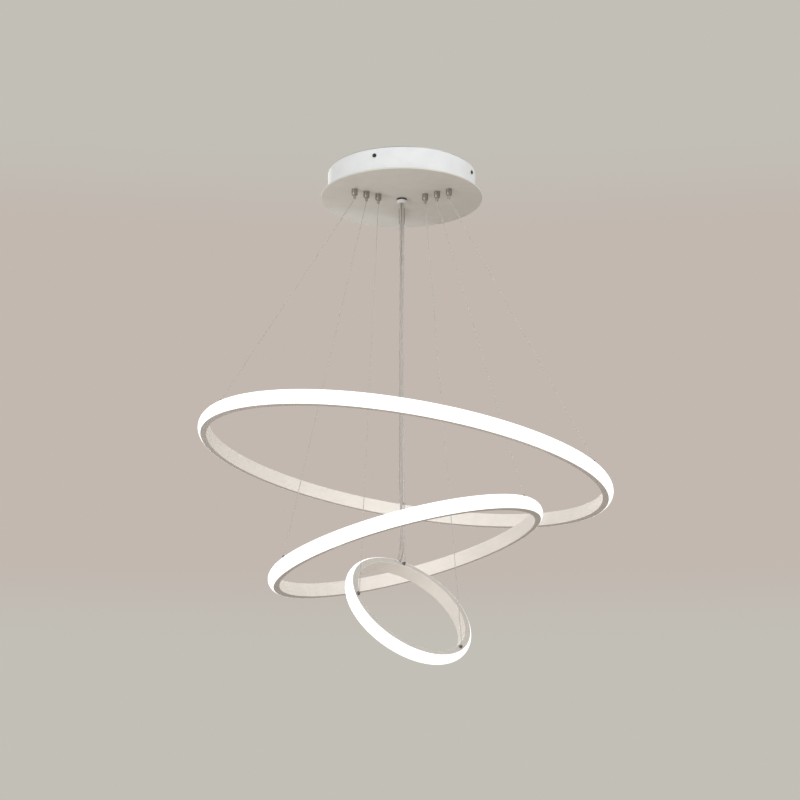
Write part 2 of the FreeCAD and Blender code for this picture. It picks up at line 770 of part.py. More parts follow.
# ---- build --------------------------------------------------------------------------------
def main():
    os.makedirs("parts", exist_ok=True)
    save("ceiling_plate", ceiling_plate())
    save("canopy_drum", canopy_drum())
    save("canopy_plate", canopy_plate())
    save("plate_nuts", *plate_nuts())
    save("side_screws", *side_screws())
    save("driver_case", driver_case())
    save("driver_lid", driver_lid())
    save("driver_screws", *driver_screws())
    save("terminal_block", terminal_block())
    save("supply_leads", *supply_leads())
    save("flex_tails", *flex_tails())
    save("gland_body", gland_body())
    save("gland_nut", gland_nut())
    save("gland_seal", gland_seal())

    places = gripper_places()
    save("gripper_bodies", *[gripper_body(at) for _, _, at in places])
    save("gripper_nuts", *[gripper_nut(at) for _, _, at in places])
    spring = gripper_spring()
    save("gripper_springs", *[spring.translated(at) for _, _, at in places])
    save("wire_tails", *[wire_tail(at, RINGS[ring], GRIPPER_AZIMUTHS[side])
                         for ring, side, at in places])
    for ring, side, at in places:
        save("plunger_" + ring + "_" + side, gripper_plunger(at))

    for name, spec in RINGS.items():
        pieces = {
            "channel": [channel(spec)], "diffuser": [diffuser(spec)],
            "led_strip": led_strip(spec), "splice_plate": [splice_plate(spec)],
            "splice_screws": splice_screws(spec), "wire_nipples": wire_nipples(spec),
            "wire_stops": wire_stops(spec), "grommet": [cable_grommet(spec)],
            "lead": [ring_lead(spec)],
        }
        for piece, solids in pieces.items():
            save(name + "_" + piece, *hang(spec, *solids))
        wires, lengths = free_wires(spec)
        save(name + "_wires", *wires)
        flex, length, radius, share = tube(flex_points(name, spec), flex_diameter)
        save(name + "_flex", flex)
        print(name, "wires", [round(x, 1) for x in lengths], "flex", round(length, 1),
              "tightest", round(radius, 1), "volume share", round(share, 4))
        print("   flex end", flex_points(name, spec)[-1])


main()
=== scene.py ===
import math

import bmesh
import bpy
from mathutils import Euler, Matrix, Vector


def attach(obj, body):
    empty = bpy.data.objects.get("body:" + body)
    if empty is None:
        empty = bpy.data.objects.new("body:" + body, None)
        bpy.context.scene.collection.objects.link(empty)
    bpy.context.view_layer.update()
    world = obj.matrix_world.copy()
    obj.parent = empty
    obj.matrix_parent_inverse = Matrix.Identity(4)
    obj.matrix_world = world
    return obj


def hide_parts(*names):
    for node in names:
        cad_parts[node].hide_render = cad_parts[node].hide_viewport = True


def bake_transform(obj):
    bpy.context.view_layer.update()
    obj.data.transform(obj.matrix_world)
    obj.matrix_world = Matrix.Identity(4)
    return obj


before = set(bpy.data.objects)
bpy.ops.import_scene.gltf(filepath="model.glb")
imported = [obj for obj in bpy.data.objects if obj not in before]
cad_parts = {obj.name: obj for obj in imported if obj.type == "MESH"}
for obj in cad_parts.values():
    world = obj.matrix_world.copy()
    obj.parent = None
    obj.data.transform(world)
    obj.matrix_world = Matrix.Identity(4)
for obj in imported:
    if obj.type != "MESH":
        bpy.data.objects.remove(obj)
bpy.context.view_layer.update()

# ---- sizes, in metres, the same as the construction's --------------------------------------
PLATE_UNDER = -0.0390
PLATE_THICKNESS = 0.0025
PLATE_RADIUS = 0.120
PLATE_HOLE = 0.0042
PLATE_ROLL = 0.0009
PLATE_EDGE = 0.0002
PLATE_TOP = PLATE_UNDER + PLATE_THICKNESS
DRUM_RADIUS = 0.110
DRUM_WALL = 0.0012
DRUM_FOOT = 0.012
DRUM_EDGE = 0.0004
DRUM_TOP = -0.0015
SIDE_SCREW_HEIGHT = -0.012
SIDE_SCREW_STEM = 0.0020
SIDE_SCREW_REACH = -0.004
SIDE_SCREW_HEAD = 0.0030
SIDE_SCREW_DOME = 0.0018
SIDE_SCREW_RECESS = (0.0030, 0.0007, 0.0016)
SIDE_SCREW_AZIMUTHS = (-111.0, -21.0, 69.0, 159.0)
BARREL_RADIUS = 0.0045
BARREL_STEM = 0.00325
BARREL_BORE = 0.00206
BARREL_TOP_BORE = 0.00092
BARREL_FLUTE_STEP = 7.5
BARREL_END = PLATE_UNDER - 0.010
PLUNGER_TIP = BARREL_END - 0.005
PLUNGER_RADIUS = 0.0020
PLUNGER_COLLAR = 0.0025
COLLAR_UNDER = BARREL_END + 0.003
COLLAR_TOP = COLLAR_UNDER + 0.0035
WIRE_BORE = 0.0009
SPRING_ROOF = COLLAR_TOP + 0.0090
SPRING_SPARE = 0.0003
SPRING_WIRE = 0.0005
SPRING_COIL = 0.0021
SPRING_TURNS = 5
WIRE_TURN = PLUNGER_TIP - 0.0006
WIRE_DIAMETER = 0.0012
STRAND_GROOVE = 0.80
STRAND_LAY = 0.012
GLAND_UNDER = PLATE_UNDER - 0.007
GLAND_RADIUS = 0.0075
GLAND_BORE = 0.0041
SHADE_BAND_HEIGHT = 0.0025
GLAND_NECK = 0.0050
GLAND_RIBS = 24
THREAD_TOP = PLATE_TOP + 0.0075
FLEX_DIAMETER = 0.0032
FLEX_HOLE_RADIUS = 0.00215
CORE_RADIUS = 0.00055
CORE_OFFSET = 0.00072
CORE_LAY = 0.045
FLEX_RUN_OUT = 0.014
FLEX_RUN_IN = 0.010
BAND_HALF = 0.010
BULGE = 0.005
CHANNEL_DEPTH = 0.009
CHANNEL_WALL = 0.0014
CHANNEL_LIP = 0.0010
LIP_WIDTH = 0.0014
SPLICE_GAP = 0.0003
DOME_WALL = 0.0016
LEG_OUT = 0.0074
LEG_IN = 0.0062
LEG_LENGTH = 0.0027
NIPPLE_RADIUS = 0.0025
NIPPLE_HEIGHT = 0.004
NIPPLE_BORE = 0.0007
NIPPLE_STEM = 0.0016
NIPPLE_REACH = 0.002
GROMMET_HEIGHT = 0.0025
GROMMET_BORE = 0.00162
GROMMET_NECK = 0.00258
GROMMET_FOOT = 0.0028
GROMMET_RADIUS = 0.0033

FLOOR_LEVEL = -2.4
FLOOR_RADIUS = 14
LAMP_SIZE = 2.4
LAMPS = (
    ("key", (1.8, -1.6, 0.8), (0, 0, -0.35), 13),
    ("low_left", (-2.0, -1.8, -1.0), (0, 0, -0.55), 26),
    ("top_fill", (0.4, 0.6, 2.2), (0, 0, -0.35), 14),
    ("behind", (-0.8, 2.6, 0.4), (0, 0, -0.35), 17),
)
CAMERA_PLACE = (-0.0026, -2.7852, -1.1318)
CAMERA_RISE = 15.69
CAMERA_LENS = 90.0
LIGHT_FROM = (0.5, -1.0, -0.2)
LIGHT_ROUND = 0.45
LIGHT_LOBE = 0.68
WALL_GREY = (0.539, 0.521, 0.474, 1)
WALL_WARM = (0.539, 0.479, 0.434, 1)
WALL_TONES = ((0.154, WALL_GREY), (0.188, WALL_WARM), (0.351, WALL_WARM), (0.388, WALL_GREY))

GRIPPER_AZIMUTHS = {"far": 90.0, "left": 210.0, "right": 330.0}
RINGS = {
    "large": {
        "radius": 0.3, "centre": (0.004, -0.004, -0.446), "turn": (-1.0, 9.5),
        "grippers": 0.08,
        "wires": {"far": 90.3, "left": 207.0, "right": 333.0},
        "grommet": 91.7, "splice": 262.0, "flex_hole": 90.0, "segments": 288,
        "flex": (
            (-0.0002, 0.005, -0.092), (-0.0012, 0.017, -0.134), (-0.002, 0.038, -0.18),
            (-0.002, 0.068, -0.227), (-0.0022, 0.105, -0.272), (-0.0024, 0.148, -0.314),
            (-0.0024, 0.194, -0.352), (-0.0026, 0.239, -0.385), (-0.003, 0.268, -0.405),
            (-0.0024, 0.28, -0.416),
        ),
    },
    "middle": {
        "radius": 0.2, "centre": (0.006, -0.007, -0.569), "turn": (-1.0, -14.6),
        "grippers": 0.06,
        "wires": {"far": 89.8, "left": 207.0, "right": 334.0},
        "grommet": 92.0, "splice": 262.0, "flex_hole": 210.0, "segments": 224,
        "flex": (
            (-0.0019, -0.001, -0.094), (-0.0019, 0.003, -0.14), (-0.0007, 0.011, -0.196),
            (-0.0002, 0.021, -0.252), (-0.0008, 0.035, -0.308), (-0.001, 0.054, -0.362),
            (-0.0005, 0.08, -0.414), (0.0, 0.112, -0.462), (-0.0003, 0.147, -0.505),
            (-0.0015, 0.168, -0.527), (-0.0038, 0.178, -0.539),
        ),
    },
    "small": {
        "radius": 0.1, "centre": (0.0095, 0.013, -0.6538), "turn": (39.8, 39.1),
        "grippers": 0.04,
        "wires": {"far": 126.0, "left": 226.0, "right": 356.0},
        "grommet": 131.0, "splice": 290.0, "flex_hole": 330.0, "segments": 160,
        "flex": (
            (0.0019, -0.0016, -0.096), (0.0019, -0.0015, -0.144), (0.0007, 0.001, -0.2),
            (-0.0002, 0.0065, -0.256), (-0.0004, 0.0135, -0.312), (-0.0004, 0.0215, -0.368),
            (-0.0006, 0.03, -0.424), (-0.0012, 0.0385, -0.478), (-0.0008, 0.0438, -0.526),
            (0.0012, 0.0476, -0.552),
        ),
    },
}


# ---- modelling helpers ---------------------------------------------------------------------
def polar(radius, azimuth, height=0.0):
    turn = math.radians(azimuth)
    return Vector((radius * math.cos(turn), radius * math.sin(turn), height))


def ring_place(spec):
    about_x, about_y = (math.radians(t) for t in spec["turn"])
    turn = Matrix.Rotation(about_y, 4, "Y") @ Matrix.Rotation(about_x, 4, "X")
    return Matrix.Translation(spec["centre"]) @ turn


def wire_circle(spec):
    return spec["radius"] - BULGE - CHANNEL_DEPTH / 2


def object_mode():
    if bpy.context.object and bpy.context.object.mode != "OBJECT":
        bpy.ops.object.mode_set(mode="OBJECT")
    bpy.ops.object.select_all(action="DESELECT")


def edit(piece):
    object_mode()
    piece.select_set(True)
    bpy.context.view_layer.objects.active = piece
    bpy.ops.object.mode_set(mode="EDIT")
    bpy.ops.mesh.select_mode(type="VERT")


def pick(piece, test):
    """Selects the vertices that pass a test of their place, in edit mode."""
    bpy.ops.mesh.select_all(action="DESELECT")
    mesh = bmesh.from_edit_mesh(piece.data)
    for vertex in mesh.verts:
        vertex.select = test(vertex.co)
    mesh.select_flush_mode()
    bmesh.update_edit_mesh(piece.data)


def pick_faces(piece, test):
    """Selects the faces that pass a test of their centre and normal, in edit mode."""
    bpy.ops.mesh.select_mode(type="FACE")
    bpy.ops.mesh.select_all(action="DESELECT")
    mesh = bmesh.from_edit_mesh(piece.data)
    for face in mesh.faces:
        face.select = test(face.calc_center_median(), face.normal)
    bmesh.update_edit_mesh(piece.data)


def turned(name, outline, segments=96, closed=False):
    """Draws a ring of edges out along an outline of (radius, height) points."""
    object_mode()
    radius, height = outline[0]
    bpy.ops.mesh.primitive_circle_add(vertices=segments, radius=radius)
    piece = bpy.context.object
    piece.name = name
    edit(piece)
    bpy.ops.mesh.select_all(action="SELECT")
    bpy.ops.transform.translate(value=(0, 0, height))
    for next_radius, next_height in list(outline[1:]) + ([outline[0]] if closed else []):
        bpy.ops.mesh.extrude_region_move(
            TRANSFORM_OT_translate={"value": (0, 0, next_height - height)})
        grow = next_radius / radius
        bpy.ops.transform.resize(value=(grow, grow, 1), center_override=(0, 0, 0))
        radius, height = next_radius, next_height
    tidy_mesh()
    return piece


def tidy_mesh():
    bpy.ops.mesh.select_all(action="SELECT")
    bpy.ops.mesh.remove_doubles(threshold=1e-6)
    bpy.ops.mesh.normals_make_consistent(inside=False)


def close_end(piece, radius, height):
    """Fills the round hole whose edge has this radius and height."""
    pick(piece, lambda co: abs(co.xy.length - radius) < 2e-5 and abs(co.z - height) < 2e-5)
    bpy.ops.mesh.edge_face_add()
    tidy_mesh()


def soften(piece, width, segments=2, angle=28.0):
    """Rounds the sharp edges and shades what is left smooth."""
    object_mode()
    piece.select_set(True)
    bpy.context.view_layer.objects.active = piece
    if width:
        bevel = piece.modifiers.new("soft_edges", "BEVEL")
        bevel.width = width
        bevel.segments = segments
        bevel.limit_method = "ANGLE"
        bevel.angle_limit = math.radians(angle)
        bevel.harden_normals = False
        bpy.ops.object.modifier_apply(modifier=bevel.name)
    bpy.ops.object.shade_smooth_by_angle(angle=math.radians(angle))
    return piece


def put(piece, matrix):
    """Sets the piece where the matrix says and leaves its object at the origin."""
    object_mode()
    piece.select_set(True)
    bpy.context.view_layer.objects.active = piece
    piece.matrix_world = matrix @ piece.matrix_world
    bpy.ops.object.transform_apply(location=True, rotation=True, scale=True)
    return piece


def copy_to(piece, name, matrix):
    copy = piece.copy()
    copy.data = piece.data.copy()
    copy.name = name
    bpy.context.scene.collection.objects.link(copy)
    return put(copy, matrix)


def join(name, pieces):
    object_mode()
    for piece in pieces:
        piece.select_set(True)
    bpy.context.view_layer.objects.active = pieces[0]
    bpy.ops.object.join()
    pieces[0].name = name
    return pieces[0]


def drop(piece):
    bpy.data.objects.remove(piece)


def finish(piece, body, material, slot, *nodes):
    piece.data.materials.clear()
    piece.data.materials.append(material)
    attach(piece, body)
    if nodes:
        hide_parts(*nodes)
    return piece


# ---- materials -----------------------------------------------------------------------------
def second_finish(piece, material, test):
    """Gives the faces that pass a test of their centre and normal another finish."""
    piece.data.materials.append(material)
    for face in piece.data.polygons:
        if test(face.center, face.normal):
            face.material_index = 1


def blank(name):
    material = bpy.data.materials.new(name)
    material.use_nodes = True
    tree = material.node_tree
    return material, tree, tree.nodes["Principled BSDF"]


def noise(tree, scale, detail=4.0, stretch=(1, 1, 1)):
    place = tree.nodes.new("ShaderNodeTexCoord")
    mapping = tree.nodes.new("ShaderNodeMapping")
    mapping.inputs["Scale"].default_value = stretch
    texture = tree.nodes.new("ShaderNodeTexNoise")
    texture.inputs["Scale"].default_value = scale
    texture.inputs["Detail"].default_value = detail
    tree.links.new(place.outputs["Object"], mapping.inputs["Vector"])
    tree.links.new(mapping.outputs["Vector"], texture.inputs["Vector"])
    return texture.outputs["Fac"]


def blend_colours(tree, factor, low, high):
    ramp = tree.nodes.new("ShaderNodeValToRGB")
    ramp.color_ramp.elements[0].position = 0.32
    ramp.color_ramp.elements[1].position = 0.68
    ramp.color_ramp.elements[0].color = (*low, 1)
    ramp.color_ramp.elements[1].color = (*high, 1)
    tree.links.new(factor, ramp.inputs["Fac"])
    return ramp.outputs["Color"]


def spread_value(tree, factor, low, high):
    spread = tree.nodes.new("ShaderNodeMapRange")
    spread.inputs["From Min"].default_value = 0.3
    spread.inputs["From Max"].default_value = 0.7
    spread.inputs["To Min"].default_value = low
    spread.inputs["To Max"].default_value = high
    tree.links.new(factor, spread.inputs["Value"])
    return spread.outputs["Result"]


def relief(tree, shader, factor, depth):
    bump = tree.nodes.new("ShaderNodeBump")
    bump.inputs["Strength"].default_value = 0.6
    bump.inputs["Distance"].default_value = depth
    tree.links.new(factor, bump.inputs["Height"])
    tree.links.new(bump.outputs["Normal"], shader.inputs["Normal"])


def finish_coat(name, colour, rough, metal=0.0, mottle=0.03, mottle_scale=45.0,
                grain_scale=1400.0, grain_depth=0.00003, stretch=(1, 1, 1), coat=0.0):
    """A finish with slow colour drift, uneven gloss and a fine grain in relief."""
    material, tree, shader = blank(name)
    drift = noise(tree, mottle_scale)
    grain = noise(tree, grain_scale, 3.0, stretch)
    low = [c * (1 - mottle) for c in colour]
    high = [min(1.0, c * (1 + mottle)) for c in colour]
    tree.links.new(blend_colours(tree, drift, low, high), shader.inputs["Base Color"])
    tree.links.new(spread_value(tree, grain, rough[0], rough[1]), shader.inputs["Roughness"])
    shader.inputs["Metallic"].default_value = metal
    shader.inputs["Coat Weight"].default_value = coat
    relief(tree, shader, grain, grain_depth)
    return material


def lit_opal():
    """The opal cover: near white, lit evenly, a little warmer and dimmer in slow patches."""
    material, tree, shader = blank("lit_opal")
    drift = noise(tree, 14.0)
    grain = noise(tree, 700.0)
    tree.links.new(
        blend_colours(tree, drift, (1.0, 0.985, 0.95), (1.0, 0.995, 0.975)),
        shader.inputs["Emission Color"])
    shader.inputs["Emission Strength"].default_value = 0.93
    shader.inputs["Base Color"].default_value = (0.80, 0.79, 0.77, 1)
    tree.links.new(spread_value(tree, grain, 0.30, 0.42), shader.inputs["Roughness"])
    relief(tree, shader, grain, 0.00001)
    return material


def clear_sheath():
    """The clear covering of the flex, faintly grey and not quite even."""
    material, tree, shader = blank("clear_sheath")
    drift = noise(tree, 60.0)
    shader.inputs["Base Color"].default_value = (0.84, 0.80, 0.76, 1)
    shader.inputs["Transmission Weight"].default_value = 0.50
    shader.inputs["IOR"].default_value = 1.42
    tree.links.new(spread_value(tree, drift, 0.34, 0.48), shader.inputs["Roughness"])
    relief(tree, shader, drift, 0.00001)
    return material


MATERIALS = {
    "drum_white": finish_coat("drum_white", (0.87, 0.895, 0.90), (0.34, 0.46),
                              grain_depth=0.00001, coat=0.1),
    # The plate's copy of the canopy's white paint, darker and warmer than the drum's: its own white
    # paint with painted shade for its downward face.
    "plate_paint_and_shade": finish_coat("plate_paint_and_shade", (0.765, 0.75, 0.70), (0.36, 0.48),
                               grain_depth=0.00001, coat=0.1),
    "ring_white": finish_coat("ring_white", (0.95, 0.90, 0.84), (0.54, 0.64), 0.0, 0.02,
                              45.0, 500.0, 0.000004),
    # A greyer copy of ring_white for the channel's rims: painted shade, standing in for the shade
    # that falls on the rims.
    "ring_rim_shade": finish_coat("ring_rim_shade", (0.62, 0.585, 0.54), (0.36, 0.46), 0.0, 0.04,
                             60.0, 500.0, 0.000004),
    # Near black for the band at the top of the gland: painted shade where the gland meets the
    # plate.
    "painted_contact_shade": finish_coat("painted_contact_shade", (0.05, 0.05, 0.048), (0.50, 0.64), 0.0, 0.1,
                               200.0, 900.0, 0.00001),
    "zinc": finish_coat("zinc", (0.60, 0.61, 0.62), (0.30, 0.48), 1.0, 0.14, 90.0, 400.0),
    "nickel": finish_coat("nickel", (0.44, 0.42, 0.40), (0.22, 0.34), 1.0, 0.04, 200.0,
                          900.0, 0.00001, (1, 1, 12)),
    "dark_nickel": finish_coat("dark_nickel", (0.20, 0.19, 0.18), (0.28, 0.42), 0.9, 0.08,
                               200.0, 900.0, 0.00001),
    "black_screw": finish_coat("black_screw", (0.055, 0.055, 0.055), (0.35, 0.50), 0.7, 0.1,
                               300.0, 900.0, 0.00001),
    "wire_steel": finish_coat("wire_steel", (0.66, 0.64, 0.61), (0.44, 0.56), 0.6, 0.08,
                              300.0, 2000.0, 0.00001),
    "tinned_core": finish_coat("tinned_core", (0.58, 0.55, 0.51), (0.42, 0.54), 0.5, 0.08,
                               300.0, 2000.0, 0.00001),
    "white_plastic": finish_coat("white_plastic", (0.84, 0.84, 0.82), (0.45, 0.58)),
    "pale_rubber": finish_coat("pale_rubber", (0.72, 0.71, 0.69), (0.48, 0.62), 0.0, 0.04,
                               90.0, 700.0),
    "blue_cover": finish_coat("blue_cover", (0.12, 0.20, 0.45), (0.36, 0.5)),
    "led_board": finish_coat("led_board", (0.90, 0.88, 0.76), (0.40, 0.55), 0.0, 0.05, 160.0),
    "lit_opal": lit_opal(),
    "clear_sheath": clear_sheath(),
}


# ---- canopy --------------------------------------------------------------------------------
def make_drum():
    """The drum's wall with its rolled upper edge and its foot turned in."""
    inner = DRUM_RADIUS - DRUM_WALL
    drum = turned("drum_shell", [
        (DRUM_RADIUS - DRUM_FOOT, PLATE_TOP), (DRUM_RADIUS, PLATE_TOP),
        (DRUM_RADIUS, DRUM_TOP), (inner, DRUM_TOP), (inner, PLATE_TOP + DRUM_WALL),
        (DRUM_RADIUS - DRUM_FOOT, PLATE_TOP + DRUM_WALL),
    ], 192, closed=True)
    soften(drum, DRUM_EDGE, 3)
    finish(drum, "canopy", MATERIALS["drum_white"], "white_paint", "canopy_drum")


def make_plate():
    """The round cover plate, its rim drawn over in a soft roll."""
    near = PLATE_ROLL * 0.3
    plate = turned("cover_plate", [
        (PLATE_HOLE, PLATE_UNDER), (PLATE_RADIUS - PLATE_ROLL, PLATE_UNDER),
        (PLATE_RADIUS - near, PLATE_UNDER + near),
        (PLATE_RADIUS, PLATE_UNDER + PLATE_ROLL), (PLATE_RADIUS, PLATE_TOP - PLATE_EDGE),
        (PLATE_RADIUS - PLATE_EDGE, PLATE_TOP), (PLATE_HOLE, PLATE_TOP),
    ], 192, closed=True)
    soften(plate, 0)
    # The plate's paint is darker than the drum's: painted shade on its downward face.
    finish(plate, "canopy", MATERIALS["plate_paint_and_shade"], "white_paint", "canopy_plate")


def make_side_screws():
    """Four dark pan-head screws with a cross recess."""
    radius, height, stem = SIDE_SCREW_HEAD, SIDE_SCREW_DOME, SIDE_SCREW_STEM
    screw = turned("side_screw", [
        (stem, SIDE_SCREW_REACH), (stem, 0.0), (radius, 0.0), (radius, height * 0.45),
        (radius * 0.86, height * 0.82), (radius * 0.5, height),
    ], 32)
    close_end(screw, radius * 0.5, height)
    close_end(screw, stem, SIDE_SCREW_REACH)
    cross = []
    for turn in (0.0, 90.0):
        object_mode()
        bpy.ops.mesh.primitive_cube_add(size=1, location=(0, 0, height))
        bar = bpy.context.object
        bar.scale = SIDE_SCREW_RECESS
        bar.rotation_euler = (0, 0, math.radians(turn))
        put(bar, Matrix.Identity(4))
        cross.append(bar)
    for bar in cross:
        cut = screw.modifiers.new("recess", "BOOLEAN")
        cut.operation = "DIFFERENCE"
        cut.solver = "EXACT"
        cut.object = bar
        object_mode()
        screw.select_set(True)
        bpy.context.view_layer.objects.active = screw
        bpy.ops.object.modifier_apply(modifier=cut.name)
        drop(bar)
    soften(screw, 0)
    copies = []
    for k, azimuth in enumerate(SIDE_SCREW_AZIMUTHS):
        seat = polar(DRUM_RADIUS, azimuth, SIDE_SCREW_HEIGHT)
        turn = Vector((0, 0, 1)).rotation_difference(polar(1, azimuth)).to_matrix().to_4x4()
        copies.append(copy_to(screw, "side_screw_%d" % k, Matrix.Translation(seat) @ turn))
    drop(screw)
    screws = join("side_screw_set", copies)
    finish(screws, "canopy", MATERIALS["black_screw"], "dark_screw", "side_screws")


def make_gland():
    """The gland's body with its ribbed nose; the band at its top, under the plate, is painted near
    black as the shade where it meets the plate.
    """
    body = turned("gland_nose", [
        (GLAND_BORE, GLAND_UNDER), (GLAND_RADIUS - 0.0022, GLAND_UNDER),
        (GLAND_RADIUS - 0.0006, GLAND_UNDER + 0.0016), (GLAND_RADIUS, GLAND_UNDER + 0.0026),
        (GLAND_RADIUS, PLATE_UNDER - SHADE_BAND_HEIGHT),
        (GLAND_RADIUS, PLATE_UNDER), (GLAND_NECK, PLATE_UNDER), (GLAND_NECK, THREAD_TOP),
        (GLAND_BORE, THREAD_TOP),
    ], 72, closed=True)
    edit(body)
    spacing = 2 * math.pi / GLAND_RIBS
    pick_faces(body, lambda centre, normal: (
        abs(normal.z) < 0.1 and centre.xy.length > GLAND_RADIUS * 0.95
        and (math.atan2(centre.y, centre.x) % spacing) < spacing / 3))
    bpy.ops.mesh.extrude_region_move()
    bpy.ops.transform.resize(value=(0.945, 0.945, 1), center_override=(0, 0, 0))
    soften(body, 0.00015)
    finish(body, "canopy", MATERIALS["white_plastic"], "white_plastic", "gland_body")
    # The band at the gland's top, under the plate, is painted near black: painted shade where the
    # gland meets the plate.
    second_finish(body, MATERIALS["painted_contact_shade"], lambda centre, normal: (
        centre.z > PLATE_UNDER - SHADE_BAND_HEIGHT))


def make_grippers():
    """Nine fluted barrels with a collar under the plate, and their sprung plungers."""
    barrel = turned("barrel", [
        (BARREL_BORE, BARREL_END), (BARREL_RADIUS - 0.0012, BARREL_END),
        (BARREL_RADIUS - 0.0004, BARREL_END + 0.0008), (BARREL_RADIUS, BARREL_END + 0.0016),
        (BARREL_RADIUS, BARREL_END + 0.0066), (BARREL_RADIUS - 0.0007, BARREL_END + 0.0070),
        (BARREL_RADIUS - 0.0007, BARREL_END + 0.0076), (BARREL_RADIUS, BARREL_END + 0.0080),
        (BARREL_RADIUS, PLATE_UNDER), (BARREL_STEM, PLATE_UNDER), (BARREL_STEM, THREAD_TOP),
        (BARREL_TOP_BORE, THREAD_TOP), (BARREL_TOP_BORE, BARREL_END + 0.010),
        (BARREL_BORE, BARREL_END + 0.010),
    ], 48, closed=True)
    edit(barrel)
    low, high = BARREL_END + 0.0017, BARREL_END + 0.0065
    pick_faces(barrel, lambda centre, normal: (
        low < centre.z < high and centre.xy.length > BARREL_RADIUS * 0.95
        and round(math.degrees(math.atan2(centre.y, centre.x)) / BARREL_FLUTE_STEP - 0.5) % 2 == 0))
    bpy.ops.mesh.extrude_region_move()
    bpy.ops.transform.resize(value=(0.94, 0.94, 1), center_override=(0, 0, 0))
    soften(barrel, 0.00008, 1)
    plunger = turned("plunger", [
        (WIRE_BORE, PLUNGER_TIP + 0.0004), (PLUNGER_RADIUS - 0.0008, PLUNGER_TIP),
        (PLUNGER_RADIUS - 0.0002, PLUNGER_TIP + 0.0003), (PLUNGER_RADIUS, PLUNGER_TIP + 0.0009),
        (PLUNGER_RADIUS, COLLAR_UNDER), (PLUNGER_COLLAR, COLLAR_UNDER),
        (PLUNGER_COLLAR, COLLAR_TOP), (WIRE_BORE, COLLAR_TOP),
    ], 32, closed=True)
    soften(plunger, 0.00008, 1)
    barrels = []
    for ring, spec in RINGS.items():
        for side, azimuth in GRIPPER_AZIMUTHS.items():
            place = Matrix.Translation(polar(spec["grippers"], azimuth))
            barrels.append(copy_to(barrel, "barrel_%s_%s" % (ring, side), place))
            body = "plunger_%s_%s" % (ring, side)
            moving = copy_to(plunger, body + "_pin", place)
            finish(moving, body, MATERIALS["nickel"], "nickel", body)
    drop(barrel)
    drop(plunger)
    finish(join("gripper_barrels", barrels), "canopy", MATERIALS["nickel"], "nickel",
           "gripper_bodies")


# ---- rings ---------------------------------------------------------------------------------
def make_channel(name, spec):
    """The bent channel, open outwards, with lips for the cover and a seam at its splice."""
    mouth = spec["radius"] - BULGE
    back = mouth - CHANNEL_DEPTH
    inside = back + CHANNEL_WALL
    deck = BAND_HALF - CHANNEL_WALL
    lip = deck - CHANNEL_LIP
    corner = 0.0004
    upper = [
        (back + corner, BAND_HALF), (mouth - 0.0002, BAND_HALF), (mouth, BAND_HALF - 0.0002),
        (mouth, lip), (mouth - LIP_WIDTH, lip), (mouth - LIP_WIDTH, deck), (inside, deck),
    ]
    lower = [(radius, -height) for radius, height in reversed(upper)]
    outline = [(back, -BAND_HALF + corner), (back, BAND_HALF - corner)] + upper + lower
    channel = turned(name + "_channel_shell", outline, spec["segments"], closed=True)
    edit(channel)
    for side in (-1, 1):
        bpy.ops.mesh.select_all(action="SELECT")
        bpy.ops.mesh.bisect(plane_co=(0, side * SPLICE_GAP / 2, 0), plane_no=(0, 1, 0))
    pick_faces(channel, lambda centre, normal: (
        centre.x > 0 and abs(centre.y) < SPLICE_GAP / 2))
    bpy.ops.mesh.delete(type="FACE")
    for side in (-1, 1):
        bpy.ops.mesh.select_mode(type="VERT")
        pick(channel, lambda co: co.x > 0 and abs(co.y - side * SPLICE_GAP / 2) < 1e-6)
        bpy.ops.mesh.edge_face_add()
    tidy_mesh()
    soften(channel, 0)
    put(channel, Matrix.Rotation(math.radians(spec["splice"]), 4, "Z"))
    put(channel, ring_place(spec))
    finish(channel, name + "_ring", MATERIALS["ring_white"], "ring_paint", name + "_channel")
    # The rims, the faces that point along the ring's axis, get the greyer copy of the ring paint:
    # painted shade on the rims.
    upright = ring_place(spec).to_3x3() @ Vector((0, 0, 1))
    second_finish(channel, MATERIALS["ring_rim_shade"], lambda centre, normal: (
        abs(normal.dot(upright)) > 0.99))


def make_cover(name, spec):
    """The opal cover: a domed strip with two legs behind the channel's lips."""
    mouth = spec["radius"] - BULGE
    arc_radius = (BAND_HALF ** 2 + BULGE ** 2) / (2 * BULGE)
    arc_centre = spec["radius"] - arc_radius
    steps = 16
    reach = math.asin(BAND_HALF / arc_radius)
    outside = []
    for k in range(steps + 1):
        turn = reach * (2 * k / steps - 1)
        outside.append((arc_centre + arc_radius * math.cos(turn), arc_radius * math.sin(turn)))
    inner_steps = 8
    inside = []
    for k in range(inner_steps + 1):
        share = 1 - 2 * k / inner_steps
        inside.append((mouth + (BULGE - DOME_WALL) * (1 - share ** 2), LEG_IN * share))
    leg = [(mouth, LEG_OUT), (mouth - LEG_LENGTH, LEG_OUT), (mouth - LEG_LENGTH, LEG_IN)]
    foot = [(radius, -height) for radius, height in reversed(leg)]
    cover = turned(name + "_opal_cover", outside + leg + inside + foot, spec["segments"],
                   closed=True)
    soften(cover, 0)
    put(cover, ring_place(spec))
    finish(cover, name + "_ring", MATERIALS["lit_opal"], "opal_cover", name + "_diffuser")


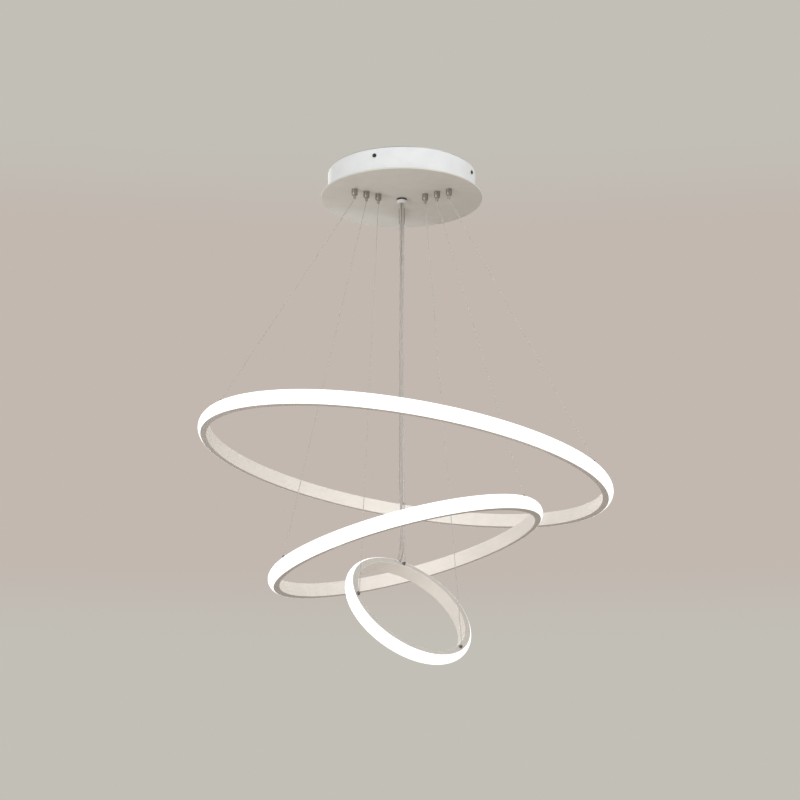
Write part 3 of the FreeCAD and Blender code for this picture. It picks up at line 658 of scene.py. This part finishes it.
def make_nipples(name, spec):
    """The three dark nipples that the wires end in."""
    top = BAND_HALF + NIPPLE_HEIGHT
    nipple = turned("nipple", [
        (NIPPLE_BORE, BAND_HALF - NIPPLE_REACH), (NIPPLE_STEM, BAND_HALF - NIPPLE_REACH),
        (NIPPLE_STEM, BAND_HALF),
        (NIPPLE_RADIUS, BAND_HALF), (NIPPLE_RADIUS, BAND_HALF + 0.0012),
        (NIPPLE_RADIUS - 0.0004, BAND_HALF + 0.0016), (NIPPLE_RADIUS - 0.0004, top - 0.0012),
        (NIPPLE_RADIUS - 0.0008, top - 0.0004), (NIPPLE_RADIUS - 0.0013, top), (NIPPLE_BORE, top),
    ], 32, closed=True)
    soften(nipple, 0.0001, 1)
    place = ring_place(spec)
    copies = [
        copy_to(nipple, "nipple_" + side, place @ Matrix.Translation(polar(wire_circle(spec), a)))
        for side, a in spec["wires"].items()
    ]
    drop(nipple)
    finish(join(name + "_nipple_set", copies), name + "_ring", MATERIALS["dark_nickel"],
           "dark_nickel", name + "_wire_nipples")


def make_grommet(name, spec):
    """The rubber grommet with a rounded lip where the flex goes in."""
    deck = BAND_HALF - CHANNEL_WALL
    top = BAND_HALF + GROMMET_HEIGHT
    grommet = turned(name + "_grommet_lip", [
        (GROMMET_BORE, deck - 0.001), (GROMMET_FOOT, deck - 0.001), (GROMMET_FOOT, deck),
        (GROMMET_NECK, deck), (GROMMET_NECK, BAND_HALF), (GROMMET_RADIUS, BAND_HALF),
        (GROMMET_RADIUS, BAND_HALF + 0.0010), (0.0031, BAND_HALF + 0.0017),
        (0.0026, top - 0.0002), (0.0021, top), (GROMMET_BORE, top),
    ], 32, closed=True)
    soften(grommet, 0.0001, 1)
    put(grommet, ring_place(spec) @ Matrix.Translation(polar(wire_circle(spec), spec["grommet"])))
    finish(grommet, name + "_ring", MATERIALS["pale_rubber"], "clear_rubber", name + "_grommet")


# ---- wires and flexes ----------------------------------------------------------------------
def make_wire(name, side, spec):
    """A seven-strand steel wire, pulled straight between its gripper and its nipple."""
    upper = polar(spec["grippers"], GRIPPER_AZIMUTHS[side], WIRE_TURN)
    lower = ring_place(spec) @ polar(wire_circle(spec), spec["wires"][side],
                                     BAND_HALF + NIPPLE_HEIGHT)
    run = lower - upper
    turns = round(run.length / STRAND_LAY)
    object_mode()
    bpy.ops.mesh.primitive_circle_add(vertices=12, radius=WIRE_DIAMETER / 2)
    wire = bpy.context.object
    wire.name = "%s_wire_%s" % (name, side)
    for k, vertex in enumerate(wire.data.vertices):
        if k % 2:
            vertex.co *= STRAND_GROOVE
    twist = wire.modifiers.new("strands", "SCREW")
    twist.angle = 2 * math.pi * turns
    twist.screw_offset = run.length
    twist.steps = twist.render_steps = turns * 8
    bpy.ops.object.modifier_apply(modifier=twist.name)
    edit(wire)
    for height in (0.0, run.length):
        pick(wire, lambda co: abs(co.z - height) < 1e-6)
        bpy.ops.mesh.edge_face_add()
    tidy_mesh()
    soften(wire, 0, angle=60.0)
    turn = Vector((0, 0, 1)).rotation_difference(run).to_matrix().to_4x4()
    put(wire, Matrix.Translation(upper) @ turn)
    wire.data.materials.clear()
    wire.data.materials.append(MATERIALS["wire_steel"])
    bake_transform(wire)
    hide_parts(name + "_wires")


def smooth_line(points):
    """Points along the smooth curve that the route's points control."""
    curve = bpy.data.curves.new("route", "CURVE")
    curve.dimensions = "3D"
    curve.resolution_u = 10
    spline = curve.splines.new("NURBS")
    spline.points.add(len(points) - 1)
    for target, point in zip(spline.points, points):
        target.co = (*point, 1)
    spline.order_u = 3
    spline.use_endpoint_u = True
    carrier = bpy.data.objects.new("route", curve)
    bpy.context.scene.collection.objects.link(carrier)
    bpy.context.view_layer.update()
    mesh = bpy.data.meshes.new_from_object(carrier)
    line = [Vector(v.co) for v in mesh.vertices]
    bpy.data.objects.remove(carrier)
    bpy.data.meshes.remove(mesh)
    return line


def frames_along(line):
    """A pair of cross directions at each point, carried along without twist."""
    frames = []
    side = Vector((1, 0, 0))
    for k, point in enumerate(line):
        ahead = (line[min(k + 1, len(line) - 1)] - line[max(k - 1, 0)]).normalized()
        side = (side - ahead * side.dot(ahead)).normalized()
        frames.append((point, side.copy(), ahead.cross(side)))
    return frames


def swept(name, line, radius, sides, offset=0.0, lay=1.0, phase=0.0):
    """A tube along a line; with an offset it winds round the line once each lay."""
    travelled, mesh, rings, last = 0.0, bmesh.new(), [], line[0]
    for point, side, across in frames_along(line):
        travelled += (point - last).length
        last = point
        turn = phase + 2 * math.pi * travelled / lay
        centre = point + offset * (side * math.cos(turn) + across * math.sin(turn))
        ring = []
        for k in range(sides):
            angle = 2 * math.pi * k / sides
            ring.append(mesh.verts.new(
                centre + radius * (side * math.cos(angle) + across * math.sin(angle))))
        rings.append(ring)
    for one, two in zip(rings, rings[1:]):
        for k in range(sides):
            mesh.faces.new((one[k], one[(k + 1) % sides], two[(k + 1) % sides], two[k]))
    mesh.faces.new(list(reversed(rings[0])))
    mesh.faces.new(rings[-1])
    bmesh.ops.recalc_face_normals(mesh, faces=mesh.faces)
    data = bpy.data.meshes.new(name)
    mesh.to_mesh(data)
    mesh.free()
    piece = bpy.data.objects.new(name, data)
    bpy.context.scene.collection.objects.link(piece)
    return soften(piece, 0, angle=60.0)


def make_spring(name, side, spec):
    """The spring in one gripper, above the plunger's collar, drawn at one fixed length."""
    roof = polar(spec["grippers"], GRIPPER_AZIMUTHS[side], SPRING_ROOF)
    foot = polar(spec["grippers"], GRIPPER_AZIMUTHS[side], COLLAR_TOP)
    spare = Vector((0, 0, SPRING_SPARE))
    run = (foot + spare) - (roof - spare)
    count = SPRING_TURNS * 20
    line = [roof - spare + run * (k / count) for k in range(count + 1)]
    spring = swept("spring_%s_%s" % (name, side), line, SPRING_WIRE / 2, 8, SPRING_COIL,
                   run.length / SPRING_TURNS)
    spring.data.materials.append(MATERIALS["nickel"])
    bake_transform(spring)
    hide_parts("gripper_springs")


def make_flex(name, spec):
    """A clear flex with two tinned cores that wind slowly round each other."""
    hole = polar(FLEX_HOLE_RADIUS, spec["flex_hole"])
    start = Vector((hole.x, hole.y, GLAND_UNDER))
    place, top = ring_place(spec), BAND_HALF + GROMMET_HEIGHT
    above, end = [place @ polar(wire_circle(spec), spec["grommet"], top + rise)
                  for rise in (FLEX_RUN_IN, 0.0)]
    route = [start, start - Vector((0, 0, FLEX_RUN_OUT))]
    line = smooth_line(route + [Vector(p) for p in spec["flex"]] + [above, end])
    cores = []
    for k in range(2):
        cores.append(swept("%s_core_%d" % (name, k), line, CORE_RADIUS, 8, CORE_OFFSET,
                           CORE_LAY, math.pi * k))
    core = join(name + "_flex_cores", cores)
    sheath = swept(name + "_flex_sheath", line, FLEX_DIAMETER / 2, 16)
    for piece, material in ((core, "tinned_core"), (sheath, "clear_sheath")):
        piece.data.materials.append(MATERIALS[material])
        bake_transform(piece)
    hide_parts(name + "_flex")


# ---- carried-over construction -------------------------------------------------------------
def dress(material, *nodes):
    for node in nodes:
        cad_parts[node].data.materials.clear()
        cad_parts[node].data.materials.append(MATERIALS[material])


def dress_nodes():
    dress("zinc", "ceiling_plate", "plate_nuts", "driver_screws")
    dress("nickel", "gripper_nuts", "gland_nut")
    dress("white_plastic", "driver_case", "driver_lid", "terminal_block")
    dress("blue_cover", "supply_leads")
    dress("pale_rubber", "gland_seal")
    dress("clear_sheath", "flex_tails")
    dress("wire_steel", "wire_tails")
    for name in RINGS:
        dress("led_board", name + "_led_strip")
        dress("zinc", name + "_splice_plate", name + "_splice_screws")
        dress("wire_steel", name + "_wire_stops")
        dress("clear_sheath", name + "_lead")


# ---- room, light and camera ----------------------------------------------------------------
def make_room():
    object_mode()
    bpy.ops.mesh.primitive_circle_add(vertices=96, radius=FLOOR_RADIUS, fill_type="NGON",
                                      location=(0, 0, FLOOR_LEVEL))
    floor = bpy.context.object
    floor.name = "room_floor"
    material, tree, shader = blank("pale_floor")
    drift = noise(tree, 0.8)
    tree.links.new(blend_colours(tree, drift, (0.60, 0.55, 0.50), (0.64, 0.59, 0.54)),
                   shader.inputs["Base Color"])
    shader.inputs["Roughness"].default_value = 0.8
    floor.data.materials.append(material)


def make_world():
    """Soft light, strongest from the viewer's side, and a wall for whatever looks at it."""
    world = bpy.data.worlds.new("room")
    bpy.context.scene.world = world
    world.use_nodes = True
    tree = world.node_tree
    tree.nodes.clear()
    output = tree.nodes.new("ShaderNodeOutputWorld")
    mix = tree.nodes.new("ShaderNodeMixShader")
    tree.links.new(looks_straight(tree), mix.inputs["Fac"])
    tree.links.new(soft_light(tree), mix.inputs[1])
    tree.links.new(wall_tones(tree), mix.inputs[2])
    tree.links.new(mix.outputs[0], output.inputs["Surface"])


def arithmetic(tree, operation, first, second, third=0.0):
    """A Math node whose inputs are given as numbers or as other nodes' outputs."""
    node = tree.nodes.new("ShaderNodeMath")
    node.operation = operation
    for socket, value in zip(node.inputs, (first, second, third)):
        if isinstance(value, bpy.types.NodeSocket):
            tree.links.new(value, socket)
        else:
            socket.default_value = value
    return node.outputs[0]


def looks_straight(tree):
    path = tree.nodes.new("ShaderNodeLightPath")
    seen = arithmetic(tree, "MAXIMUM", path.outputs["Is Camera Ray"],
                      path.outputs["Is Transmission Ray"])
    return arithmetic(tree, "MAXIMUM", seen, path.outputs["Is Glossy Ray"])


def soft_light(tree):
    """Light that falls from all round, and more from the side that LIGHT_FROM points to."""
    place = tree.nodes.new("ShaderNodeTexCoord")
    facing = tree.nodes.new("ShaderNodeVectorMath")
    facing.operation = "DOT_PRODUCT"
    facing.inputs[1].default_value = Vector(LIGHT_FROM).normalized()
    tree.links.new(place.outputs["Generated"], facing.inputs[0])
    lobe = arithmetic(tree, "MAXIMUM", facing.outputs["Value"], 0.0)
    light = tree.nodes.new("ShaderNodeBackground")
    light.inputs["Color"].default_value = (1.0, 1.0, 1.0, 1)
    tree.links.new(arithmetic(tree, "MULTIPLY_ADD", lobe, LIGHT_LOBE, LIGHT_ROUND),
                   light.inputs["Strength"])
    return light.outputs[0]


def wall_tones(tree):
    """A pale wall, a little warmer across its middle than above and below."""
    place = tree.nodes.new("ShaderNodeTexCoord")
    parts = tree.nodes.new("ShaderNodeSeparateXYZ")
    tree.links.new(place.outputs["Generated"], parts.inputs["Vector"])
    ramp = tree.nodes.new("ShaderNodeValToRGB")
    stops = ramp.color_ramp.elements
    stops[0].position, stops[0].color = WALL_TONES[0]
    stops[1].position, stops[1].color = WALL_TONES[-1]
    for rise, colour in WALL_TONES[1:-1]:
        stops.new(rise).color = colour
    tree.links.new(parts.outputs["Z"], ramp.inputs["Fac"])
    wall = tree.nodes.new("ShaderNodeBackground")
    tree.links.new(ramp.outputs["Color"], wall.inputs["Color"])
    return wall.outputs[0]


def add_lamp(name, place, target, size, power):
    lamp = bpy.data.lights.new(name, "AREA")
    lamp.shape = "DISK"
    lamp.size = size
    lamp.energy = power
    holder = bpy.data.objects.new(name, lamp)
    holder.location = place
    holder.rotation_euler = (Vector(target) - Vector(place)).to_track_quat("-Z", "Y").to_euler()
    bpy.context.scene.collection.objects.link(holder)


def make_camera():
    """A long lens a little under the light, looking up at it."""
    data = bpy.data.cameras.new("viewer")
    data.sensor_width = 36.0
    data.lens = CAMERA_LENS
    camera = bpy.data.objects.new("viewer", data)
    camera.location = CAMERA_PLACE
    camera.rotation_euler = Euler((math.radians(90 + CAMERA_RISE), 0, 0))
    bpy.context.scene.collection.objects.link(camera)
    bpy.context.scene.camera = camera


make_camera()
for ring_name, ring_spec in RINGS.items():
    make_flex(ring_name, ring_spec)
    for wire_side in GRIPPER_AZIMUTHS:
        make_wire(ring_name, wire_side, ring_spec)
make_drum()
make_plate()
make_side_screws()
make_gland()
make_grippers()
for ring_name, ring_spec in RINGS.items():
    for spring_side in GRIPPER_AZIMUTHS:
        make_spring(ring_name, spring_side, ring_spec)
    make_channel(ring_name, ring_spec)
    make_cover(ring_name, ring_spec)
    make_nipples(ring_name, ring_spec)
    make_grommet(ring_name, ring_spec)
dress_nodes()
make_room()
make_world()
for lamp_name, lamp_place, lamp_target, lamp_power in LAMPS:
    add_lamp(lamp_name, lamp_place, lamp_target, LAMP_SIZE, lamp_power)
bpy.context.scene.view_settings.view_transform = "Standard"

object_mode()
